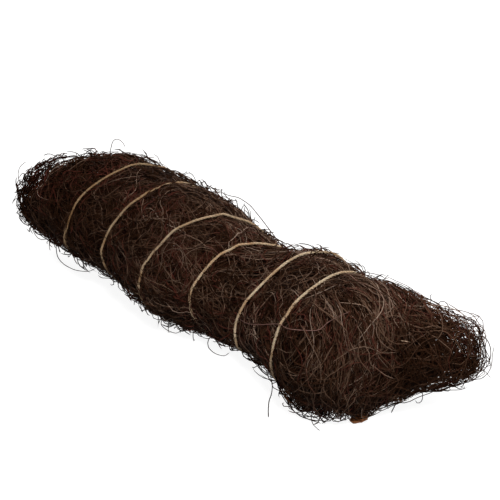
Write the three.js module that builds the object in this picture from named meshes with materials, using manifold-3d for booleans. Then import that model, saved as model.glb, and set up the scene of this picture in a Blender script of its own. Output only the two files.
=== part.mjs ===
// A bundle of fine dark twigs, rolled into a log and lashed by one length of twine that winds round it
// in an open spiral. Single twigs stray from the bundle, and a chip of bark is caught under its loose end.
//
// Millimetres, +Z up. The bundle lies along X with its loose, flared end at +X, and its front is at -Y.
// The origin is on the surface that the bundle lies on, under the middle of its box.
// A clock angle goes round the bundle: 0 at the front, a quarter turn at the top, a half turn at the back.

import * as THREE from "three";
import { mergeVertices } from "three/addons/utils/BufferGeometryUtils.js";
import Module from "manifold-3d";

const wasm = await Module();
wasm.setup();

// Driving dimensions: the form of the bundle, from its tight end to its loose end.
// radius is half its width, side is how far its middle lies towards the back, and lift is how far
// its underside rises off the surface.
const SECTIONS = [
  { x: -259, radius: 6, side: -10, lift: 33 },
  { x: -254, radius: 28, side: -12, lift: 32 },
  { x: -241, radius: 36, side: -12, lift: 28 },
  { x: -207, radius: 48, side: -3, lift: 17 },
  { x: -167, radius: 58, side: 6, lift: 9 },
  { x: -109, radius: 60, side: 4, lift: 3 },
  { x: -47, radius: 63, side: -8, lift: 0 },
  { x: -8, radius: 58, side: -9, lift: 1 },
  { x: 35, radius: 51, side: -5, lift: 2 },
  { x: 89, radius: 58, side: -12, lift: 1 },
  { x: 128, radius: 60, side: -29, lift: 0 },
  { x: 160, radius: 57, side: -19, lift: 2 },
  { x: 189, radius: 39, side: 7, lift: 18 },
  { x: 213, radius: 28, side: 28, lift: 25 },
  { x: 220, radius: 17, side: 34, lift: 29 },
  { x: 224, radius: 5, side: 40, lift: 35 },
];
const HEIGHT_SHARE = 0.95; // how far the bundle sags: its height over its width
const SETTLE = 4; // how far its own weight flattens the underside
const BOX_MIDDLE = new THREE.Vector3(-13.8, -1.9, 0); // the middle of the box on the SECTIONS' own scale
const LUMP = 1.6; // unevenness of the roll
const FACETS_ROUND = 20;
const FACETS_ALONG = 34;

// Driving dimensions: the twine
// top is where a turn crosses the top of the bundle, and lean is how far it moves along the bundle
// for each radian over its upper half.
const TWINE_RADIUS = 1.3;
const TWINE_TURNS = [
  { top: -143, lean: 15 },
  { top: -86, lean: 20 },
  { top: -19, lean: 22 },
  { top: 20, lean: 12 },
  { top: 74, lean: 17 },
  { top: 119.5, lean: 9 },
];
const TWINE_END_LEAN = 7; // how far its two ends move along, for each radian under the bundle
const TWINE_START = -THREE.MathUtils.degToRad(150); // clock angle where the first turn leaves the twigs
const TWINE_END = THREE.MathUtils.degToRad(300); // clock angle where the last turn goes back into them
const TWINE_TUCK = THREE.MathUtils.degToRad(40); // the stretch over which each end sinks in
const TUCK_DEPTH = 11;
const TWINE_SINK = 0.5; // how deep the twine's middle lies in the twigs
const WAIST_DEPTH = 2.6; // how far the lashing draws the bundle in
const WAIST_REACH = 11;
const STEPS_PER_TURN = 16;
const TWINE_SIDES = 6;
const TWINE_CLEAR = 1.1; // how far the twine keeps off the surface that the bundle lies on

// Driving dimensions: locks of twigs that stand out on the bundle's skin, and frayed tips at its ends
const LOCKS = 10;
const LOCK_RADIUS = [3.0, 4.4];
const LOCK_LENGTH = [55, 120];
const LOCK_DIP = 7; // how deep both ends of a lock go under the skin
const LOCK_BOW = 16; // how far a lock bends out of a straight line
const LOCK_STEPS = 5;
const LOCK_SIDES = 4;
const TIPS_PER_END = 8;
const TIP_RADIUS = 1.7;
const TIP_LENGTH = [16, 26];
const TIP_SIDES = 5;

// Driving dimensions: single stray twigs, each from its root inside the bundle to its free tip
const STRAY_RADIUS = 0.45;
const STRAY_SIDES = 5;
const ROOT_ROOM = 1.4; // half the width of the gap between twigs that a stray's root sits in
const STRAY_STEPS_PER_POINT = 2;
const STRAYS = [
  [[56, -12, 9], [67, -33, 2.2], [86, -52, 1], [97, -69, 1], [110, -84, 1]],
  [[84, -20, 8], [88, -44, 2.2], [105, -58, 1], [126, -66, 1], [146, -62, 1]],
  [[122, -38, 10], [136, -63, 2.4], [143, -69, 2.2], [152, -71, 1.8]],
  [[-164, -2, 12], [-172, -24, 3], [-194, -30, 1.2], [-219, -24, 1.2], [-238, -10, 6]],
  [[46, 12, 86], [12, 18, 104], [-9, 20, 114], [-32, 20, 113], [-55, 18, 117]],
  [[-184, 16, 92], [-179, 18, 113], [-175, 19, 124], [-166, 20, 127], [-160, 21, 120]],
  [[210, 28, 62], [232, 24, 76], [240, 20, 68], [239, 18, 56], [231, 18, 46]],
  [[182, 10, 30], [185, 15, 14], [190, 10, 8], [191, 3, 7], [186, 6, 6.5]],
  [[166, 16, 12], [171, 6, 2.4], [174, -4, 1.2], [178, -15, 1.2]],
  [[136, 11, 76], [139, 20, 92], [141, 21, 95], [144, 20, 99]],
  [[-2, -18, 10], [2, -40, 2.6], [18, -46, 1.2], [26, -42, 1.4], [25, -37, 2]],
  [[-96, 34, 20], [-108, 62, 8], [-126, 76, 1.6], [-150, 80, 1]],
  [[14, 30, 14], [30, 56, 3], [50, 66, 1], [60, 82, 1]],
  [[106, 18, 12], [126, 40, 3], [150, 50, 1], [160, 66, 1]],
  [[-236, -22, 58], [-258, -30, 70], [-266, -26, 82], [-262, -18, 90]],
  [[-228, 12, 70], [-248, 28, 78], [-260, 32, 70], [-268, 28, 62]],
  [[-60, -22, 10], [-52, -44, 2.6], [-38, -47, 1.2], [-30, -43, 1.2], [-32, -39, 1.6]],
];

// Driving dimensions: the chip of bark under the loose end
const CHIP_OUTLINE = [[-7, -3], [-4, -5.5], [3, -5], [7.5, -2], [6, 4], [1, 6], [-5, 4.5]];
const CHIP_THICKNESS = 2.2;
const CHIP_PLACE = new THREE.Vector3(165, -40, 4.6);
const CHIP_TURN = new THREE.Euler(THREE.MathUtils.degToRad(24), THREE.MathUtils.degToRad(-8), 0.5);

const GAP = 0.4; // the space left round a piece that lies in the bundle
const WAY_SIDES = 4; // sides of the way that is cleared for a round piece
const SEED = 7;

const twigMaterial = new THREE.MeshStandardMaterial({ name: "twig", color: 0x33221a, roughness: 0.75 });
const twineMaterial = new THREE.MeshStandardMaterial({ name: "twine", color: 0xb99a70, roughness: 0.9 });
const barkMaterial = new THREE.MeshStandardMaterial({ name: "bark", color: 0x8a5230, roughness: 0.8 });

// A repeatable stream of numbers from 0 to 1.
function seededRandom(seed) {
  let state = seed;
  return () => {
    state = (state * 1664525 + 1013904223) % 4294967296;
    return state / 4294967296;
  };
}

const random = seededRandom(SEED);
const between = ([low, high]) => low + (high - low) * random();

// Solids
function solidOf(geometry) {
  const bare = new THREE.BufferGeometry().setAttribute("position", geometry.getAttribute("position"));
  bare.setIndex(geometry.index);
  const merged = mergeVertices(bare, 1e-3);
  return new wasm.Manifold(
    new wasm.Mesh({
      numProp: 3,
      vertProperties: merged.attributes.position.array,
      triVerts: new Uint32Array(merged.index.array),
    }),
  );
}

function geometryOf(solid) {
  const { vertProperties, triVerts } = solid.getMesh();
  const geometry = new THREE.BufferGeometry();
  geometry.setAttribute("position", new THREE.BufferAttribute(vertProperties, 3));
  geometry.setIndex(new THREE.BufferAttribute(triVerts, 1));
  geometry.computeVertexNormals();
  return geometry;
}

// The one body that is left when crumbs cut off by a way are dropped.
function largestBody(solid) {
  return solid.decompose().reduce((a, b) => (a.volume() > b.volume() ? a : b));
}

function roundShape(radius, sides) {
  const corners = Array.from({ length: sides }, (_, i) => (i * 2 * Math.PI) / sides);
  return new THREE.Shape(corners.map((a) => new THREE.Vector2(radius * Math.cos(a), radius * Math.sin(a))));
}

function tube(path, radius, steps, sides) {
  const options = { steps, bevelEnabled: false, extrudePath: path };
  return new THREE.ExtrudeGeometry(roundShape(radius, sides), options);
}

// The smooth curve through some points, in steps that are even along it.
function smoothPath(points) {
  const path = new THREE.CatmullRomCurve3(points, false, "centripetal");
  path.arcLengthDivisions = points.length * 12;
  return path;
}

// The twine's course: how far along the bundle it is at each clock angle, counted on over all turns.
const turnAngle = (turn) => 2 * Math.PI * turn;
const courseKnots = TWINE_TURNS.flatMap(({ top, lean }, turn) => [
  [turnAngle(turn), top - (lean * Math.PI) / 2],
  [turnAngle(turn) + Math.PI, top + (lean * Math.PI) / 2],
]);
const course = new THREE.LinearInterpolant(
  courseKnots.map(([angle]) => angle),
  courseKnots.map(([, x]) => x),
  1,
);

function twineX(angle) {
  const [first, last] = [courseKnots[0], courseKnots.at(-1)];
  if (angle < first[0]) return first[1] + (angle - first[0]) * TWINE_END_LEAN;
  if (angle > last[0]) return last[1] + (angle - last[0]) * TWINE_END_LEAN;
  return course.evaluate(angle)[0];
}

// How far the lashing draws the bundle in at a place on its skin.
function waist(x, clock) {
  const round = ((clock % turnAngle(1)) + turnAngle(1)) % turnAngle(1);
  const turns = TWINE_TURNS.map((_, turn) => twineX(round + turnAngle(turn)));
  const nearest = Math.min(...turns.map((twine) => Math.abs(x - twine)));
  return WAIST_DEPTH * Math.exp(-((nearest / WAIST_REACH) ** 2));
}

const lump = (x, clock) =>
  LUMP * (Math.sin(2 * clock + x / 31) + Math.sin(3 * clock - x / 19) + 0.6 * Math.sin(5 * clock + x / 11));

const form = new THREE.CubicInterpolant(
  SECTIONS.map((section) => section.x),
  SECTIONS.flatMap(({ radius, side, lift }) => [radius, side, lift]),
  3,
);

// The point at a clock angle, rise above the bundle's skin.
function skinPoint(x, clock, rise = 0) {
  const [radius, side, lift] = form.evaluate(x);
  const fade = Math.min(1, radius / 40);
  const reach = Math.max(0, radius + fade * (lump(x, clock) - waist(x, clock)) + rise);
  const middle = HEIGHT_SHARE * radius - SETTLE + lift;
  const height = middle + HEIGHT_SHARE * reach * Math.sin(clock);
  return new THREE.Vector3(x, side - reach * Math.cos(clock), height);
}

// The roll of twigs, shaped from a sphere whose poles become the two ends.
function rollGeometry() {
  const sphere = new THREE.SphereGeometry(1, FACETS_ROUND, FACETS_ALONG);
  const place = sphere.getAttribute("position");
  const [start, end] = [SECTIONS[0].x, SECTIONS.at(-1).x];
  for (let i = 0; i < place.count; i++) {
    const polar = Math.acos(THREE.MathUtils.clamp(place.getY(i), -1, 1));
    const clock = Math.atan2(place.getZ(i), -place.getX(i));
    const isPole = Math.sin(polar) < 1e-6;
    const x = THREE.MathUtils.lerp(start, end, polar / Math.PI);
    const point = skinPoint(x, clock, isPole ? -SECTIONS[0].radius * 2 : 0);
    place.setXYZ(i, point.x, point.y, point.z);
  }
  return sphere;
}

// One lock of twigs: it comes up out of the skin, runs along it and goes under again.
function lockGeometry() {
  const x = THREE.MathUtils.lerp(SECTIONS[2].x, SECTIONS.at(-4).x, random());
  const clock = 2 * Math.PI * random();
  const heading = Math.PI * random();
  const length = between(LOCK_LENGTH);
  const radius = between(LOCK_RADIUS);
  const bow = LOCK_BOW * (random() - 0.5);
  const reach = form.evaluate(x)[0];
  const points = [-1, -0.5, 0, 0.5, 1].map((k) => {
    const along = (k * length) / 2;
    const across = bow * (1 - k * k);
    const dx = along * Math.cos(heading) - across * Math.sin(heading);
    const round = along * Math.sin(heading) + across * Math.cos(heading);
    const placeX = THREE.MathUtils.clamp(x + dx, SECTIONS[1].x, SECTIONS.at(-2).x);
    return skinPoint(placeX, clock + round / reach, 0.3 * radius - LOCK_DIP * k * k);
  });
  return tube(smoothPath(points), radius, LOCK_STEPS, LOCK_SIDES);
}

// One frayed tip: a slim cone out of an end of the bundle.
function tipGeometry(section, outward, i) {
  const length = between(TIP_LENGTH);
  const clock = (2 * Math.PI * (i + random())) / TIPS_PER_END;
  const root = skinPoint(section.x, clock, -0.35 * section.radius);
  const middle = skinPoint(section.x, 0, -1000);
  const spread = root.clone().sub(middle).setLength(0.5 + 0.5 * random());
  const direction = new THREE.Vector3(outward, 0, 0).add(spread).normalize();
  const cone = new THREE.ConeGeometry(TIP_RADIUS, length, TIP_SIDES);
  const turn = new THREE.Quaternion().setFromUnitVectors(new THREE.Vector3(0, 1, 0), direction);
  return cone.applyQuaternion(turn).translate(...root.addScaledVector(direction, 0.2 * length).toArray());
}

// The twine, in a spiral whose two ends are tucked into the twigs.
function twinePath() {
  const finish = turnAngle(TWINE_TURNS.length - 1) + TWINE_END;
  const steps = Math.round(((finish - TWINE_START) / turnAngle(1)) * STEPS_PER_TURN);
  const points = Array.from({ length: steps + 1 }, (_, i) => {
    const angle = THREE.MathUtils.lerp(TWINE_START, finish, i / steps);
    const fromEnd = Math.min(angle - TWINE_START, finish - angle);
    const tuck = Math.max(0, 1 - fromEnd / TWINE_TUCK) ** 2;
    const point = skinPoint(twineX(angle), angle, -TWINE_SINK - TUCK_DEPTH * tuck);
    point.z = Math.max(point.z, TWINE_RADIUS + TWINE_CLEAR);
    return point;
  });
  return { path: smoothPath(points), steps };
}

function ballAt(point, radius) {
  return new THREE.SphereGeometry(radius, 6, 4).translate(point.x, point.y, point.z);
}

// The solid that clears a way for a round piece through the bundle.
// It is wide enough for its flats to miss the piece.
function wayAlong(path, radius, steps) {
  const reach = (radius + GAP) / Math.cos(Math.PI / WAY_SIDES);
  const ends = [0, 1].map((at) => solidOf(ballAt(path.getPointAt(at), radius + 1.5 * GAP)));
  return ends.reduce((a, b) => a.add(b), solidOf(tube(path, reach, steps, WAY_SIDES)));
}

function chipGeometry(extra) {
  const outline = CHIP_OUTLINE.map(([x, y]) => {
    const corner = new THREE.Vector2(x, y);
    return corner.setLength(corner.length() + extra);
  });
  const depth = CHIP_THICKNESS + 2 * extra;
  const chip = new THREE.ExtrudeGeometry(new THREE.Shape(outline), { depth, bevelEnabled: false });
  chip.translate(0, 0, -depth / 2);
  const turn = new THREE.Quaternion().setFromEuler(CHIP_TURN);
  return chip.applyQuaternion(turn).translate(...CHIP_PLACE.toArray());
}

// Everything under the surface that the bundle lies on.
function groundGeometry() {
  const size = 1000;
  return new THREE.BoxGeometry(size, size, size).translate(0, 0, -size / 2);
}

const twineRoute = twinePath();
const twine = {
  geometry: tube(twineRoute.path, TWINE_RADIUS, twineRoute.steps, TWINE_SIDES),
  way: wayAlong(twineRoute.path, TWINE_RADIUS, twineRoute.steps),
};
const strays = STRAYS.map((places) => {
  const points = places.map((place) => new THREE.Vector3(...place));
  const path = smoothPath(points);
  return {
    geometry: tube(path, STRAY_RADIUS, STRAY_STEPS_PER_POINT * (points.length - 1), STRAY_SIDES),
    way: wayAlong(new THREE.LineCurve3(points[0], points[1]), ROOT_ROOM, 1),
  };
});
const chip = { geometry: chipGeometry(0), way: solidOf(chipGeometry(GAP)) };

function bundleGeometry() {
  const locks = Array.from({ length: LOCKS }, lockGeometry);
  const tightEnd = Array.from({ length: TIPS_PER_END }, (_, i) => tipGeometry(SECTIONS[2], -1, i));
  const looseEnd = Array.from({ length: TIPS_PER_END }, (_, i) => tipGeometry(SECTIONS.at(-3), 1, i));
  const grown = [...locks, ...tightEnd, ...looseEnd].map(solidOf);
  const ways = [twine.way, chip.way, ...strays.map((stray) => stray.way), solidOf(groundGeometry())];
  const bundle = grown.reduce((a, b) => a.add(b), solidOf(rollGeometry()));
  return geometryOf(largestBody(ways.reduce((a, b) => a.subtract(b), bundle)));
}

function piece(name, geometry, material) {
  const mesh = new THREE.Mesh(geometry, material);
  mesh.name = name;
  return mesh;
}

const twigBundle = new THREE.Group();
twigBundle.add(piece("twig_bundle", bundleGeometry(), twigMaterial));
twigBundle.add(piece("binding_twine", twine.geometry, twineMaterial));
twigBundle.add(piece("bark_chip", chip.geometry, barkMaterial));
strays.forEach((stray, i) => {
  const name = `stray_twig_${String(i + 1).padStart(2, "0")}`;
  twigBundle.add(piece(name, stray.geometry, twigMaterial));
});
twigBundle.children.forEach((mesh) => mesh.position.sub(BOX_MIDDLE));

export default twigBundle;
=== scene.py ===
"""Looks of a bundle of fine dark twigs, lashed with one jute twine and lying on its side.

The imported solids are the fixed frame. Thousands of thin twigs are grown as joined tubes in the space of the
solid bundle. A three-ply twine follows the solid twine's own route, and the strays and the bark chip are
redone in finer detail. Metres, +Z up, +X along the bundle towards its loose end, the front at -Y.
"""

import copy
import logging
import math
from collections.abc import Iterable
from dataclasses import dataclass, field
from enum import Enum

import bmesh
import bpy
import numpy as np
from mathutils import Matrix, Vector, noise
from mathutils.bvhtree import BVHTree
from mathutils.kdtree import KDTree


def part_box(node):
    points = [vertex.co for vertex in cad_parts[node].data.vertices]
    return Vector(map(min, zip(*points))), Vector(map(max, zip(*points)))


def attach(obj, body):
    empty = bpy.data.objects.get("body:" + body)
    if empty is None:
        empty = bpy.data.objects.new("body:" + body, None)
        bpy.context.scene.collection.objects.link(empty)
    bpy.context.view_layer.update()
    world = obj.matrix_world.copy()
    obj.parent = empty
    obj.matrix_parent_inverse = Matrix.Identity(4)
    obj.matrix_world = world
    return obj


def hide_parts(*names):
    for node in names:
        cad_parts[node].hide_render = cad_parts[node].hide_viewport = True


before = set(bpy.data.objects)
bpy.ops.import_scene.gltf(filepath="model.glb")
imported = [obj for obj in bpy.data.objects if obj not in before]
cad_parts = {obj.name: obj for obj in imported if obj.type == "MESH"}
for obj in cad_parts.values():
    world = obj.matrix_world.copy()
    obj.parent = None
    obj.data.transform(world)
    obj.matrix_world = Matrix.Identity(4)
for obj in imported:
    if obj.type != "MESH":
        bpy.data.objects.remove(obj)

LOG = logging.getLogger("bundle_of_twigs")
SEED = 11
MM = 0.001
BODY = "root"
UV_NAME = "OFBake"
UV_MARGIN = 0.1
TONE_AND_SHADE = "twig_tone_and_shade"
AXIS = np.array([1.0, 0.0, 0.0])
STEEP = 0.8
CURVE_STEPS = 12
FLOOR_GAP = 0.05 * MM

Pair = tuple[float, float]
Triple = tuple[float, float, float]
Stop = tuple[float, Triple]
Colour = tuple[float, float, float, float]
Array = np.ndarray
Draw = np.random.Generator
Piece = bpy.types.Object
Material = bpy.types.Material
Node = bpy.types.Node
Socket = bpy.types.NodeSocket
Shape = bmesh.types.BMesh


def unit(vectors: Array) -> Array:
    """Scales vectors, whose last axis holds x, y and z, to a length of one."""
    return vectors / np.maximum(np.linalg.norm(vectors, axis=-1, keepdims=True), 1e-12)


def smooth_step(value: Array) -> Array:
    """Eases shares between 0 and 1, after cutting them off at both."""
    share = np.clip(value, 0.0, 1.0)
    return share * share * (3.0 - 2.0 * share)


def tapered(points: int, loss: float) -> Array:
    """A twig's thickness at each of its points: 1 in the middle, and less by the loss at its two ends."""
    return 1 - loss * np.linspace(-1, 1, points) ** 4


def stand(name: str, data: bpy.types.ID) -> Piece:
    """Makes an object and links it to the scene.

    Args:
        name: The object's name.
        data: Its mesh, light or camera.

    Returns:
        The object.
    """
    made = bpy.data.objects.new(name, data)
    bpy.context.scene.collection.objects.link(made)
    return made


def stand_shape(name: str, shape: Shape, material: Material) -> Piece:
    """Turns a finished shape into an object, and frees the shape.

    Args:
        name: The object's name.
        shape: The shape.
        material: Its finish.

    Returns:
        The object, linked to the scene.
    """
    mesh = bpy.data.meshes.new(name)
    shape.to_mesh(mesh)
    shape.free()
    mesh.materials.append(material)
    return stand(name, mesh)


# Finishes


@dataclass(frozen=True)
class Grain:
    """A noise pattern: cells in a metre, octaves, the span it is mapped to, and a scale for each axis."""

    scale: float
    octaves: float
    span: Pair = (0.0, 1.0)
    stretch: Triple = (1.0, 1.0, 1.0)


@dataclass(frozen=True)
class Palette:
    """A material's node tree while it is put together."""

    material: Material

    @classmethod
    def start(cls, name: str) -> "Palette":
        """Makes a material with only a Principled shader and an output."""
        material = bpy.data.materials.new(name)
        material.use_nodes = True
        return cls(material)

    @property
    def shader(self) -> Node:
        """The Principled shader."""
        return self.material.node_tree.nodes["Principled BSDF"]

    def node(self, kind: str, **settings: object) -> Node:
        """Adds a node.

        Args:
            kind: The node's type name.
            settings: Its properties.

        Returns:
            The new node.
        """
        made = self.material.node_tree.nodes.new(kind)
        for key, value in settings.items():
            setattr(made, key, value)
        return made

    def link(self, source: Socket, target: Socket) -> None:
        """Joins an output to an input."""
        self.material.node_tree.links.new(source, target)

    def noise(self, grain: Grain) -> Socket:
        """Adds a noise pattern on Object coordinates.

        Args:
            grain: The pattern.

        Returns:
            The noise's value, from 0 to 1.
        """
        place = self.node("ShaderNodeTexCoord")
        mapping = self.node("ShaderNodeMapping")
        mapping.inputs["Scale"].default_value = grain.stretch
        made = self.node("ShaderNodeTexNoise")
        made.inputs["Scale"].default_value = grain.scale
        made.inputs["Detail"].default_value = grain.octaves
        self.link(place.outputs["Object"], mapping.inputs["Vector"])
        self.link(mapping.outputs["Vector"], made.inputs["Vector"])
        return made.outputs["Fac"]

    def ramp(self, value: Socket, stops: Iterable[Stop]) -> Socket:
        """Turns a value into a colour.

        Args:
            value: The value from 0 to 1.
            stops: Each colour with its place.

        Returns:
            The colour.
        """
        stops = list(stops)
        made = self.node("ShaderNodeValToRGB")
        elements = made.color_ramp.elements
        while len(elements) < len(stops):
            elements.new(0.5)
        for element, (place, colour) in zip(elements, stops):
            element.position = place
            element.color = (*colour, 1.0)
        self.link(value, made.inputs["Fac"])
        return made.outputs["Color"]

    def mix(self, mode: str, share: Socket | float, first: Socket, second: object) -> Socket:
        """Mixes two colours.

        Args:
            mode: The blend type.
            share: How much of the second is mixed in.
            first: The first colour.
            second: The second colour, as a socket or as values.

        Returns:
            The mixed colour.
        """
        made = self.node("ShaderNodeMix", data_type="RGBA", blend_type=mode)
        for socket, value in ((made.inputs[0], share), (made.inputs[6], first), (made.inputs[7], second)):
            if isinstance(value, Socket):
                self.link(value, socket)
            else:
                socket.default_value = value
        return made.outputs[2]

    def chance(self, value: Socket) -> Socket:
        """Turns a value into a random one from 0 to 1 that is always the same for it."""
        made = self.node("ShaderNodeTexWhiteNoise", noise_dimensions="1D")
        self.link(value, made.inputs["W"])
        return made.outputs["Value"]

    def span(self, value: Socket, to: Pair, reach: Pair = (0.0, 1.0)) -> Socket:
        """Maps a value onto another span.

        Args:
            value: The value.
            to: The span that it is mapped onto.
            reach: The span that it comes from.

        Returns:
            The mapped value.
        """
        made = self.node("ShaderNodeMapRange")
        for name, limit in zip(("From Min", "From Max", "To Min", "To Max"), (*reach, *to)):
            made.inputs[name].default_value = limit
        self.link(value, made.inputs["Value"])
        return made.outputs["Result"]

    def along(self, axis: str, reach: Pair, values: Pair) -> Socket:
        """Grades a value along an axis of the Object coordinates.

        Args:
            axis: X, Y or Z.
            reach: Where the grade starts and ends.
            values: The value at each of the two.

        Returns:
            The graded value.
        """
        place = self.node("ShaderNodeTexCoord")
        parts = self.node("ShaderNodeSeparateXYZ")
        self.link(place.outputs["Object"], parts.inputs["Vector"])
        return self.span(parts.outputs[axis], values, reach)

    def bump(self, height: Socket, distance: float, strength: float) -> None:
        """Raises the shader's surface by a height."""
        made = self.node("ShaderNodeBump")
        made.inputs["Distance"].default_value = distance
        made.inputs["Strength"].default_value = strength
        self.link(height, made.inputs["Height"])
        self.link(made.outputs["Normal"], self.shader.inputs["Normal"])

    def coat(self, colour: Socket, roughness: Socket, shine: float) -> Material:
        """Gives the shader its colour, roughness and shine.

        Args:
            colour: The colour.
            roughness: The roughness.
            shine: The level of the specular light.

        Returns:
            The finished material.
        """
        self.link(colour, self.shader.inputs["Base Color"])
        self.link(roughness, self.shader.inputs["Roughness"])
        self.shader.inputs["Specular IOR Level"].default_value = shine
        return self.material


@dataclass(frozen=True)
class TwigFinish:
    """Dry, wiry, dark-brown twig: each twig has a tone of its own, with painted shade in it on the bundle,
    and a few are redder than the rest.
    """

    name: str = "dry_dark_twig"
    # The palest tones are partly the twigs' own and partly painted highlights, in place of shine.
    tones: tuple[Stop, ...] = (
        (0.00, (0.0085, 0.0024, 0.0006)),
        (0.35, (0.031, 0.0130, 0.0060)),
        (0.65, (0.090, 0.0510, 0.0325)),
        (0.86, (0.156, 0.1000, 0.0710)),
        (1.00, (0.235, 0.1640, 0.1240)),
    )
    red: Colour = (0.067, 0.0172, 0.0112, 1.0)
    red_share: float = 0.16
    full_red: float = 0.8
    red_patches: Grain = Grain(24.0, 2.0, (0.3, 1.7))
    specks: Grain = Grain(420.0, 2.0, (0.6, 1.4))
    fibres: Grain = Grain(2200.0, 2.0, (0.6, 0.8))
    relief: Pair = (0.2 * MM, 0.35)
    shine: float = 0.03

    def material(self) -> Material:
        """Makes the material.

        Returns:
            The twig material, which reads the tone of each twig.
        """
        palette = Palette.start(self.name)
        # The bundle's twigs have painted shade and painted glints in their tone.
        tone = palette.node("ShaderNodeAttribute", attribute_name=TONE_AND_SHADE).outputs["Fac"]
        colour = palette.ramp(tone, self.tones)
        patches = palette.span(palette.noise(self.red_patches), self.red_patches.span)
        chance = palette.mix("MULTIPLY", 1.0, palette.chance(tone), patches)
        from_red, to_red = 1 - self.red_share, 1 - 0.5 * self.red_share
        redness = palette.ramp(chance, [(from_red, (0, 0, 0)), (to_red, (self.full_red,) * 3)])
        colour = palette.mix("MIX", redness, colour, self.red)
        specks = palette.span(palette.noise(self.specks), self.specks.span)
        colour = palette.mix("MULTIPLY", 1.0, colour, specks)
        fibres = palette.noise(self.fibres)
        palette.bump(fibres, *self.relief)
        return palette.coat(colour, palette.span(fibres, self.fibres.span), self.shine)


@dataclass(frozen=True)
class JuteFinish:
    """Pale, matt, hairy jute, stained; painted shade at its far end and on top, and painted light low down.
    """

    name: str = "natural_jute"
    tones: tuple[Stop, ...] = (
        (0.25, (0.240, 0.172, 0.106)),
        (0.50, (0.425, 0.342, 0.245)),
        (0.75, (0.600, 0.515, 0.398)),
    )
    stains: tuple[Stop, ...] = (
        (0.40, (1.0, 0.95, 0.88)),
        (0.64, (0.68, 0.47, 0.29)),
    )
    stain_share: float = 0.8
    # Painted shade: the twine is darker and browner towards the far end.
    far_shade_between: Pair = (-0.17, 0.06)
    painted_far_shade: tuple[Stop, ...] = (
        (0.0, (0.57, 0.47, 0.355)),
        (1.0, (1.0, 1.0, 1.0)),
    )
    # Painted light and shade: the twine is lighter low down and darker on top.
    light_graded_between: Pair = (0.03, 0.105)
    painted_light_grade: Pair = (1.4, 0.78)
    strands: Grain = Grain(900.0, 4.0, (0.8, 0.95))
    stain_patches: Grain = Grain(70.0, 3.0)
    fibres: Grain = Grain(3200.0, 3.0)
    relief: Pair = (0.3 * MM, 0.5)
    shine: float = 0.15

    def material(self) -> Material:
        """Makes the material.

        Returns:
            The jute material.
        """
        palette = Palette.start(self.name)
        strands = palette.noise(self.strands)
        colour = palette.ramp(strands, self.tones)
        stains = palette.ramp(palette.noise(self.stain_patches), self.stains)
        colour = palette.mix("MULTIPLY", self.stain_share, colour, stains)
        # Painted shade, darker and browner towards the far end.
        painted_far_shade = palette.ramp(palette.along("X", self.far_shade_between, (0.0, 1.0)), self.painted_far_shade)
        colour = palette.mix("MULTIPLY", 1.0, colour, painted_far_shade)
        # Painted light low down and painted shade on top.
        colour = palette.mix("MULTIPLY", 1.0, colour, palette.along("Z", self.light_graded_between, self.painted_light_grade))
        palette.bump(palette.noise(self.fibres), *self.relief)
        return palette.coat(colour, palette.span(strands, self.strands.span), self.shine)


@dataclass(frozen=True)
class BarkFinish:
    """Orange-brown inner bark, flaky and streaked."""

    name: str = "bark_flake"
    tones: tuple[Stop, ...] = (
        (0.30, (0.080, 0.025, 0.010)),
        (0.50, (0.270, 0.100, 0.034)),
        (0.72, (0.340, 0.152, 0.064)),
    )
    streaks: Grain = Grain(260.0, 5.0, (0.65, 0.9), (0.5, 1.6, 2.4))
    relief: Pair = (0.6 * MM, 0.6)
    shine: float = 0.15

    def material(self) -> Material:
        """Makes the material.

        Returns:
            The bark material.
        """
        palette = Palette.start(self.name)
        streaks = palette.noise(self.streaks)
        palette.bump(streaks, *self.relief)
        colour = palette.ramp(streaks, self.tones)
        return palette.coat(colour, palette.span(streaks, self.streaks.span), self.shine)


@dataclass(frozen=True)
class FloorFinish:
    """Plain white studio floor."""

    name: str = "studio_floor"
    colour: Colour = (0.2, 0.2, 0.2, 1.0)
    roughness: float = 0.9
    glow_colour: Colour = (1.0, 1.0, 1.0, 1.0)
    glow: float = 0.915

    def material(self) -> Material:
        """Makes the material.

        Returns:
            A matt white that glows a little, so that it stays white under the bundle.
        """
        palette = Palette.start(self.name)
        settings = {
            "Base Color": self.colour,
            "Roughness": self.roughness,
            "Specular IOR Level": 0.0,
            "Emission Color": self.glow_colour,
            "Emission Strength": self.glow,
        }
        for name, value in settings.items():
            palette.shader.inputs[name].default_value = value
        return palette.material


# Joined tubes


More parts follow.
